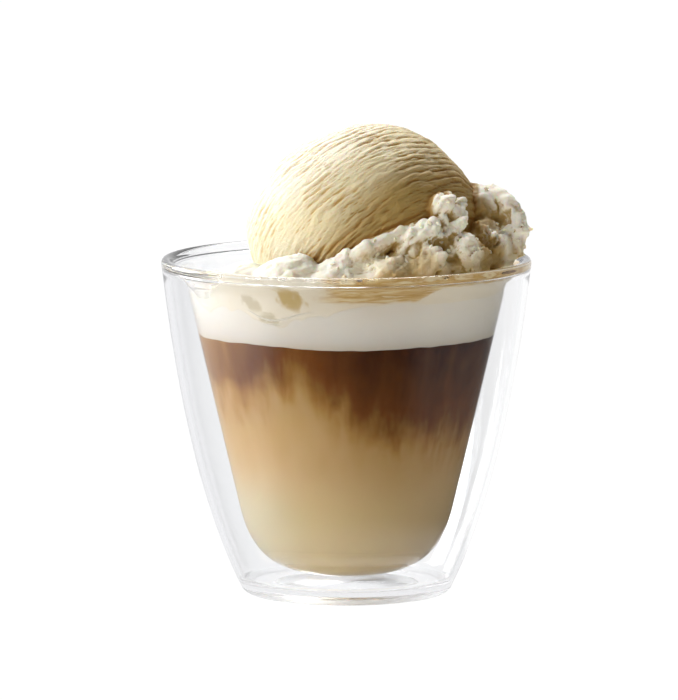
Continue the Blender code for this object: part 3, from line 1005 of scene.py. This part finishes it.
# Painted light: the ball's upper left, facing the key light, is paler and shows less groove colour.
painted_light_upper_left = ((ice.z - 98) * 1.2 - ice.x).step(4.0, 20.0)
pale_ball = ice.blend(patches, (0.77, 0.66, 0.39), (0.82, 0.74, 0.53))
shaded_golden_ball = ice.blend(patches, (0.37, 0.245, 0.075), (0.48, 0.34, 0.118))
pale_ball = ice.blend(painted_light_upper_left * 0.8, pale_ball, (0.86, 0.825, 0.70))
pale_ball = ice.blend(shaded_low_left * 0.9, pale_ball, (0.66, 0.61, 0.46))
ball_colour = ice.blend(golden, pale_ball, shaded_golden_ball)
# Groove colour: partly a real stain of coffee and cream, partly painted shade, darkest on the shaded side.
ball_groove = ice.blend(golden, (0.66, 0.44, 0.15), (0.40, 0.215, 0.05))
groove_stain_and_shade = groove.step(0.04, 0.40) * (0.95 - painted_light_upper_left * 0.35 - shaded_low_left * 0.35)
ball_colour = ice.blend(groove_stain_and_shade, ball_colour, ball_groove)
torn_colour = ice.blend(patches, (0.945, 0.90, 0.77), (0.965, 0.935, 0.84))
# The collar's grooves too: partly a real stain, partly painted shade.
torn_colour = ice.blend(groove.step(0.25, 0.8) * 0.5, torn_colour, (0.74, 0.60, 0.33))
warm = ice.z.step(90.0, 81.0) * ice.x.step(-2.0, 12.0) * patches.step(0.30, 0.54)
torn_colour = ice.blend(warm * 0.85, torn_colour, (0.66, 0.52, 0.25))
# Deep crevices: partly a real coffee stain, partly painted shade, stronger on the shaded right.
crevice_stain_and_shade = crevice.step(0.28, 0.62) * (0.35 + ice.x.step(-10.0, 4.0) * 0.6)
torn_colour = ice.blend(crevice_stain_and_shade, torn_colour, (0.52, 0.36, 0.12))
# Painted shadow in the collar's dark holes.
for spot, reach, share in PAINTED_HOLE_SHADOWS:
    away = sum((along - at) ** 2 for along, at in zip(ice.axes, spot)) / reach**2
    torn_colour = ice.blend(away.step(1.0, 0.3) * share, torn_colour, (0.44, 0.29, 0.085))
ice_colour = ice.blend(torn, ball_colour, torn_colour)
low_front = ice.z.step(82.5, 78.5) * ice.x.step(-9.0, 0.0)
streaks = ice.noise((7, 7, 1.1), detail=3.0, shift=(4, 0, 1))
syrup = low_front * ice.far_out().step(30.0, 35.0) * streaks.step(0.34, 0.6)
ice_colour = ice.blend(syrup * 0.8, ice_colour, (0.52, 0.29, 0.085))
ice.set(
    Base_Color=ice_colour,
    Roughness=0.62 - syrup * 0.35,
    Subsurface_Weight=0.5,
    Subsurface_Radius=(1.0, 0.62, 0.3),
    Subsurface_Scale=1.8 * MM,
    Specular_IOR_Level=0.35,
    Normal=ice.bump(crystals, 0.30, 0.7, ice.bump(pores, 0.35, 0.6)),
)
scoop.data.materials.clear()
scoop.data.materials.append(ice.material)

# %% [markdown]
# ## The melted foot
#
# Where the scoop meets warm foam and glass it melts. Cream runs down into the foam on the left, and on
# the right it mixes with coffee into a caramel band. This piece is one thin ring between the collar
# and the wall. Its top follows the collar, its bottom sinks into the foam, and where nothing has
# melted it stays below the foam. Small hollows that do not touch the glass are not shaped: their
# shade is painted on as darker patches.

# %% Body of the melted foot
MELT_INNER = 24.0
MELT_RINGS = 18
melt_wall = wall_at(MELT_BITE)
# Painted shade of the hollows: place, size and tone of each darker patch.
PAINTED_HOLLOW_SHADES = (
    ((-13.1, 76.2), (2.7, 3.4), (0.64, 0.49, 0.20)),
    ((-22.0, 74.6), (2.2, 2.2), (0.68, 0.62, 0.47)),
    ((-18.0, 70.8), (2.1, 1.9), (0.68, 0.63, 0.49)),
)


def turned_from_front(angle):
    """The angle from the front, positive to the right, in degrees."""
    return (math.degrees(angle) + 90 + 180) % 360 - 180


def melt_top(angle):
    """How high the cream stands at the wall."""
    side = turned_from_front(angle)
    ragged = 0.7 * noise.noise(Vector((side / 9, 0.4, 2.2))) + 0.3 * noise.noise(Vector((side / 3.2, 7, 1)))
    front = 80.6 + ragged
    left = 1 / (1 + math.exp(-(side + 52) / 3.0))
    right = 1 / (1 + math.exp((side - 118) / 6.0))
    low = FOAM_TOP - 2.0
    return low + (front - low) * left * right


def melt_bottom(angle, radius):
    side = turned_from_front(angle)
    on_left = 1 / (1 + math.exp((side + 8) / 3.0))
    drip = max(noise.noise(Vector((side / 4.5, 3.1, 0.7))), 0.0) * 2.4 * on_left
    return foam_top(angle, radius) - 1.15 - drip * (radius / 37.5) ** 8


def melt_profile(angle):
    low = melt_bottom(angle, radius_at(melt_wall, FOAM_TOP))
    high = max(melt_top(angle), low + 0.4)
    side = side_points(melt_wall, low, high, 24)
    edge = side[-1][0]
    top = []
    for i in range(1, MELT_RINGS + 1):
        share = i / MELT_RINGS
        radius = edge + (MELT_INNER - edge) * share
        spot = Vector((radius * math.cos(angle), radius * math.sin(angle), 0))
        wave = 0.7 * noise.noise(spot / 4.5 + SEED) * min(share * 4, 1)
        top.append((radius, high - 0.6 * min(share * 5, 1) + wave))
    floor = []
    for i in range(MELT_RINGS + 1):
        radius = MELT_INNER + (side[0][0] - MELT_INNER) * i / MELT_RINGS
        floor.append((radius, min(melt_bottom(angle, radius), top[-1][1] - 0.5)))
    return floor[:-1] + side + top


def turned_ring(name, profile_at, steps):
    """A closed ring from a closed line."""
    mesh_data = bmesh.new()
    for column, beside in columns_round(mesh_data, profile_at, steps):
        for low in range(len(column)):
            high = (low + 1) % len(column)
            mesh_data.faces.new((column[low], beside[low], beside[high], column[high]))
    return finished_body(name, mesh_data, 60)


melt = turned_ring("melted_cream", melt_profile, 300)

# %% Finish of the melted foot
foot = Finish("melted_cream")
layers = foot.noise((11, 11, 0.9), detail=3.0, rough=0.6, shift=(4, 0, 1), distortion=0.5)
drips = foot.noise((2.4, 2.4, 3.5), detail=2.0, shift=(1, 3, 2))
cream = foot.blend(drips, (0.95, 0.90, 0.78), (0.98, 0.95, 0.88))
caramel = foot.ramp(
    layers,
    (
        (0.30, (0.93, 0.86, 0.66)),
        (0.42, (0.84, 0.68, 0.38)),
        (0.54, (0.62, 0.39, 0.12)),
        (0.62, (0.90, 0.80, 0.55)),
        (0.74, (0.76, 0.58, 0.29)),
    ),
)
lower_edge = 75.4 + foot.x.step(15.0, 24.0) * 3.4 + (drips - 0.5) * 1.2
stained = (foot.x + (drips - 0.5) * 8).step(-9.0, 0.0) * (foot.z - lower_edge).step(-0.3, 0.5)
stained = stained * foot.y.step(12.0, -4.0)
melt_colour = foot.blend(stained, cream, caramel)
# Painted shade of the hollows against the glass.
for (x, z), (width, tall), tone in PAINTED_HOLLOW_SHADES:
    leaning = foot.x - x + (foot.z - z) * 0.5 + (drips - 0.5) * 6
    spread = (leaning / width) ** 2 + ((foot.z - z + (layers - 0.5) * 1.5) / tall) ** 2
    patch = spread.step(1.35, 0.1) * foot.y.step(-10.0, -20.0)
    melt_colour = foot.blend(patch * 0.9, melt_colour, tone)
foot.set(Base_Color=melt_colour, Roughness=0.35)
melt.data.materials.append(foot.material)

# %% [markdown]
# ## Crumbs and bubbles
#
# Small flakes break off where a scoop tears, and stay on the collar. Large bubbles rise to the open top
# of the foam. Both are one small rough ball, strewn over a surface. A tree in Geometry Nodes does it: a
# number stored on the mesh says where pieces may lie, and each copy gets its own turn and size.

# %% Build the strewing tree
PIECES_PER_SQUARE_METRE = 900000.0
STREWING = wired_tree(
    "strewn_pieces",
    {
        "Surface": "Geometry",
        "Place name": "String",
        "Least distance": "Float",
        "Seed": "Int",
        "Smallest": "Vector",
        "Largest": "Vector",
        "Raggedness": "Float",
        "Rounded": "Bool",
        "Material": "Material",
    },
    {
        "where": ("GeometryNodeInputNamedAttribute", {"data_type": "FLOAT"}, {}),
        "spread": (
            "GeometryNodeDistributePointsOnFaces",
            {"distribute_method": "POISSON"},
            {"Density Max": PIECES_PER_SQUARE_METRE},
        ),
        "ball": ("GeometryNodeMeshIcoSphere", {}, {"Radius": 1.0, "Subdivisions": 2}),
        "uneven": ("ShaderNodeTexNoise", {}, {"Scale": 1.9}),
        "centred": ("ShaderNodeVectorMath", {"operation": "SUBTRACT"}, {1: (0.5, 0.5, 0.5)}),
        "scaled": ("ShaderNodeVectorMath", {"operation": "SCALE"}, {}),
        "ragged": ("GeometryNodeSetPosition", {}, {}),
        "size": ("FunctionNodeRandomValue", {"data_type": "FLOAT_VECTOR"}, {}),
        "turn": ("FunctionNodeRandomValue", {"data_type": "FLOAT_VECTOR"}, {1: (math.tau,) * 3}),
        "copies": ("GeometryNodeInstanceOnPoints", {}, {}),
        "smooth": ("GeometryNodeSetShadeSmooth", {}, {}),
        "realize": ("GeometryNodeRealizeInstances", {}, {}),
        "finish": ("GeometryNodeSetMaterial", {}, {}),
    },
    """
    given.Place name > where.Name
    given.Surface > spread.Mesh
    given.Least distance > spread.Distance Min
    given.Seed > spread.Seed
    where.0 > spread.Density Factor
    uneven.Color > centred.0
    centred.0 > scaled.0
    given.Raggedness > scaled.Scale
    ball.Mesh > ragged.Geometry
    scaled.0 > ragged.Offset
    given.Smallest > size.0
    given.Largest > size.1
    given.Seed > size.Seed
    spread.Points > copies.Points
    ragged.0 > copies.Instance
    turn.0 > copies.Rotation
    size.0 > copies.Scale
    copies.0 > realize.0
    realize.0 > smooth.0
    given.Rounded > smooth.Shade Smooth
    smooth.0 > finish.Geometry
    given.Material > finish.Material
    finish.0 > result.0
    """,
)

# %% Strew the crumbs and the bubbles
def crumb_share(point, normal):
    off_ball = Vector((point[i] - BALL_CENTRE[i]) / BALL_REACH[i] for i in range(3)).length
    inside_rim = math.hypot(point.x, point.y) < 36.0 or point.z > GLASS_HEIGHT + 2
    if off_ball < 1.07 or normal.z < -0.1 or not inside_rim:
        return 0.0
    frozen = kept_between((point.x + 4.0) / 10.0)
    return kept_between(0.25 + 1.6 * noise.noise(point / 5.0 + SEED)) * frozen


def bubble_share(point, normal):
    radius = math.hypot(point.x, point.y)
    if normal.z < 0.6 or point.z < FOAM_TOP - 3 or not 24 < radius < 36.3:
        return 0.0
    return kept_between((radius - 24) / 12 + noise.noise(point / 3.0))


def strew(name, surface, share_at, finish, spacing, smallest, largest, **inputs):
    """Marks how likely a piece is at each point of the surface, and strews pieces by those marks."""
    store_values(surface, name, [share_at(v.co / MM, v.normal) for v in surface.data.vertices])
    obj = new_object(name, surface.data.copy())
    inputs.update({"Place name": name, "Least distance": spacing * MM, "Material": finish.material})
    inputs.update({"Smallest": Vector(smallest) * MM, "Largest": Vector(largest) * MM})
    run_tree(obj, STREWING, **inputs)
    surface.data.attributes.remove(surface.data.attributes[name])
    for leftover in [layer for layer in obj.data.attributes if layer.name == name]:
        obj.data.attributes.remove(leftover)
    count_faces(obj)
    return obj


crumb_finish = Finish("ice_cream_crumbs")
crumb_tone = crumb_finish.noise((2.5, 2.5, 2.5), detail=2.0)
crumb_finish.set(
    Base_Color=crumb_finish.blend(crumb_tone, (0.86, 0.77, 0.56), (0.95, 0.91, 0.79)),
    Roughness=0.6,
    Subsurface_Weight=0.6,
    Subsurface_Radius=(1.0, 0.62, 0.3),
    Subsurface_Scale=0.8 * MM,
)
crumb_sizes = {"spacing": 1.9, "smallest": (0.3, 0.3, 0.2), "largest": (1.0, 0.9, 0.6)}
crumb_inputs = {"Raggedness": 1.9, "Rounded": False, "Seed": 5}
crumbs = strew("ice_cream_crumbs", scoop, crumb_share, crumb_finish, **crumb_sizes, **crumb_inputs)
bubble_finish = Finish("foam_bubbles")
bubble_tone = bubble_finish.noise((3, 3, 3))
bubble_finish.set(
    Base_Color=bubble_finish.blend(bubble_tone, (0.93, 0.90, 0.82), (0.98, 0.97, 0.94)),
    Roughness=0.25,
    Subsurface_Weight=0.3,
    Subsurface_Scale=0.5 * MM,
)
bubble_sizes = {"spacing": 1.1, "smallest": (0.15, 0.15, 0.1), "largest": (0.6, 0.6, 0.5)}
bubble_inputs = {"Raggedness": 0.0, "Rounded": True, "Seed": 8}
open_bubbles = strew("foam_bubbles", foam, bubble_share, bubble_finish, **bubble_sizes, **bubble_inputs)

# %% [markdown]
# ## Join each fine piece to the frame

# %% Ride the fine pieces and hide their solids
for piece, node, slot in (
    (glass, "glass", "clear_glass"),
    (milk_coffee, "milk_coffee", "milk_coffee"),
    (espresso, "espresso_layer", "espresso"),
    (foam, "milk_foam", "milk_foam"),
    (scoop, "ice_cream_scoop", "vanilla_ice_cream"),
):
    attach(piece, "root")
    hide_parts(node)
loose_pieces = ((melt, "vanilla_ice_cream"), (crumbs, "vanilla_ice_cream"), (open_bubbles, "milk_foam"))
for piece, slot in loose_pieces:
    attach(piece, "root")

# %% [markdown]
# ## Studio
#
# The floor is plain and white. The key is a large soft light low on the left and a little in front. A
# window at the left and behind, a high light at the back and a weak one near the camera help it. The
# room in front and on the right is dim and warm, which gives the scoop its shaded side. A camera that
# looks at the floor, straight or through the glass, sees an even white. Bounced light finds it warmer,
# and darker near the foot. A reflection in the front of the glass finds it nearly black, as a black
# card laid there would make it, but one that comes from the inner vessel finds it bright. The floor
# lies 0.02 mm above the foot, so that no dark line shows between the two.

# %% Rules for what a ray finds
FLOOR_SEEN = (1.02, 1.02, 1.02)
FLOOR_BOUNCED = (1.08, 1.04, 0.95)
FLOOR_SHADE = (0.16, 0.13, 0.09)
ROOM_BEHIND = (0.60, 0.60, 0.60)
ROOM_DIM = (0.10, 0.078, 0.05)
DARK_CARD = (0.012, 0.010, 0.008)
NEAR_REFLECTED = (0.86, 0.86, 0.87)
SIDE_REFLECTED = (0.18, 0.17, 0.165)
LEFT_REFLECTED = (0.56, 0.52, 0.48)
LEFT_WALL = (0.88, 0.88, 0.895)
RIGHT_REFLECTED = (0.08, 0.075, 0.07)
RIGHT_WALL = (1.0, 1.0, 1.0)
FAR_REFLECTED = (0.90, 0.90, 0.91)


def path_masks(finish):
    """1 where a ray has met a diffuse surface, has been mirrored, or comes from the inner vessel."""
    masks = []
    for output, limit in (("Diffuse Depth", 0.5), ("Glossy Depth", 0.5), ("Transmission Depth", 3.5)):
        depth = finish.node("ShaderNodeLightPath", output=output)
        masks.append(depth.maths("GREATER_THAN", depth, limit))
    return masks


def round_about(finish, east, north, front, inner):
    """A colour by direction: front is towards the camera, then the two sides, then the back."""
    away = (east * east + north * north) ** 0.5 + 0.0001
    backward = north / away
    leftward = east * -1 / away
    behind = finish.blend(leftward.step(-0.2, 0.2), RIGHT_REFLECTED, LEFT_REFLECTED)
    behind = finish.blend(inner, finish.blend(leftward.step(-0.2, 0.2), RIGHT_WALL, LEFT_WALL), behind)
    sides = finish.blend(backward.step(-0.80, -0.62), front, SIDE_REFLECTED)
    sides = finish.blend(leftward.step(0.3, 0.9) * backward.step(-0.8, -0.5), sides, behind)
    sides = finish.blend(backward.step(0.15, 0.6), sides, behind)
    return finish.blend(inner * backward.step(0.88, 0.985), sides, FAR_REFLECTED)


# %% The floor
FLOOR_REACH = 3.0
CONTACT = 0.02 * MM
floor_mesh = bpy.data.meshes.new("floor")
corners = [(x * FLOOR_REACH, y * FLOOR_REACH, CONTACT) for x, y in ((-1, -1), (1, -1), (1, 1), (-1, 1))]
floor_mesh.from_pydata(corners, [], [(0, 1, 2, 3)])
floor = new_object("floor", floor_mesh)
floor_finish = Finish("pale_floor")
floor_bounced, floor_mirrored, floor_inner = path_masks(floor_finish)
reflected = round_about(floor_finish, floor_finish.x, floor_finish.y, DARK_CARD, floor_inner)
from_axis = floor_finish.far_out()
covered = from_axis.step(44.0, 62.0).higher_of(floor_inner)
reflected = floor_finish.blend(covered, NEAR_REFLECTED, reflected)
floor_glow = floor_finish.blend(floor_mirrored, FLOOR_SEEN, reflected)
# Painted shadow of the glass on the floor, found only by bounced rays: darker near the foot, most on the
# right.
painted_foot_shadow = from_axis.step(125.0, 45.0) * (0.30 + floor_finish.x.step(-25.0, 25.0) * 0.50)
bounced_glow = floor_finish.blend(painted_foot_shadow, FLOOR_BOUNCED, FLOOR_SHADE)
floor_glow = floor_finish.blend(floor_bounced, floor_glow, bounced_glow)
floor_tone = floor_finish.noise((60, 60, 60))
floor_finish.set(
    Base_Color=floor_finish.blend(floor_tone, (0.010, 0.010, 0.010), (0.014, 0.014, 0.014)),
    Roughness=0.9,
    Specular_IOR_Level=0.0,
    Emission_Color=floor_glow,
    Emission_Strength=1.0,
)
floor_finish.material.cycles.emission_sampling = "NONE"
floor_mesh.materials.append(floor_finish.material)


# %% The soft lights and the room
LIGHT_DISTANCE = 0.95
LIT_PLACE = Vector((0, 0, 0.07))


def soft_light(name, azimuth, elevation, size, power, colour=(1.0, 1.0, 1.0)):
    """A soft light that faces the glass, its azimuth in degrees from the camera to the left."""
    data = bpy.data.lights.new(name, "AREA")
    data.shape = "RECTANGLE"
    data.size, data.size_y = size
    data.energy = power
    data.color = colour
    obj = bpy.data.objects.new(name, data)
    left, up = math.radians(azimuth), math.radians(elevation)
    flat = Vector((-math.sin(left), -math.cos(left), 0)) * math.cos(up)
    obj.location = LIT_PLACE + (flat + Vector((0, 0, math.sin(up)))) * LIGHT_DISTANCE
    obj.rotation_euler = (LIT_PLACE - obj.location).to_track_quat("-Z", "Y").to_euler()
    bpy.context.scene.collection.objects.link(obj)


soft_light("key", azimuth=70, elevation=26, size=(0.6, 0.42), power=6.0)
soft_light("front_fill", azimuth=22, elevation=3, size=(0.4, 0.3), power=1.2, colour=(1.0, 0.97, 0.92))
soft_light("side_window", azimuth=122, elevation=16, size=(0.5, 0.4), power=5.5)
soft_light("back_light", azimuth=176, elevation=55, size=(0.6, 0.5), power=8.5)

world = bpy.data.worlds.new("studio")
world.use_nodes = True
world.cycles.sampling_method = "NONE"
bpy.context.scene.world = world


class Room(Finish):
    """The surroundings, built with the same helpers as a material."""

    def __init__(self, world):
        self.tree = world.node_tree
        self.shader = self.tree.nodes["Background"]


room = Room(world)
facing = {"Vector": room.node("ShaderNodeTexCoord", output="Generated")}
east = room.node("ShaderNodeSeparateXYZ", inputs=facing, output="X")
north = room.node("ShaderNodeSeparateXYZ", inputs=facing, output="Y")
room_bounced, room_mirrored, room_inner = path_masks(room)
dim = (east * 0.5 - north * 0.86).step(-0.6, 0.1)
mirrored_room = round_about(room, east, north, ROOM_DIM, room_inner)
seen = room.blend(room_mirrored, (1.0, 1.0, 1.0), mirrored_room)
room.set(Color=room.blend(room_bounced, seen, room.blend(dim, ROOM_BEHIND, ROOM_DIM)), Strength=1.0)

# %% [markdown]
# ## Camera
#
# The rim's ellipse and the foot's show that the camera looks down by about six and a half degrees on
# the rim, from far away. The lens is chosen so that the rim is as wide in the frame as it is in the
# picture that this follows, and the frame's long side is the height.

# %% Place the camera
DISTANCE = 1.8
RIM_ELEVATION = math.radians(6.5)
PIXELS_PER_METRE = 4110.0
FRAME_HEIGHT = 700
camera_data = bpy.data.cameras.new("camera")
camera = bpy.data.objects.new("camera", camera_data)
bpy.context.scene.collection.objects.link(camera)
camera_height = GLASS_HEIGHT * MM + DISTANCE * math.tan(RIM_ELEVATION)
LOOKED_AT = Vector((-0.0018, 0.0, 0.0592))
camera.location = Vector((LOOKED_AT.x, -DISTANCE, camera_height))
away = LOOKED_AT - camera.location
camera.rotation_euler = away.to_track_quat("-Z", "Y").to_euler()
camera_data.lens = PIXELS_PER_METRE * away.length * camera_data.sensor_width / FRAME_HEIGHT
camera_data.clip_end = 20.0
bpy.context.scene.camera = camera
bpy.context.scene.view_settings.view_transform = "Standard"
bpy.context.scene.cycles.blur_glossy = 0.0
for kind, bounces in (("max", 24), ("diffuse", 8), ("glossy", 8), ("transmission", 20)):
    setattr(bpy.context.scene.cycles, f"{kind}_bounces", bounces)
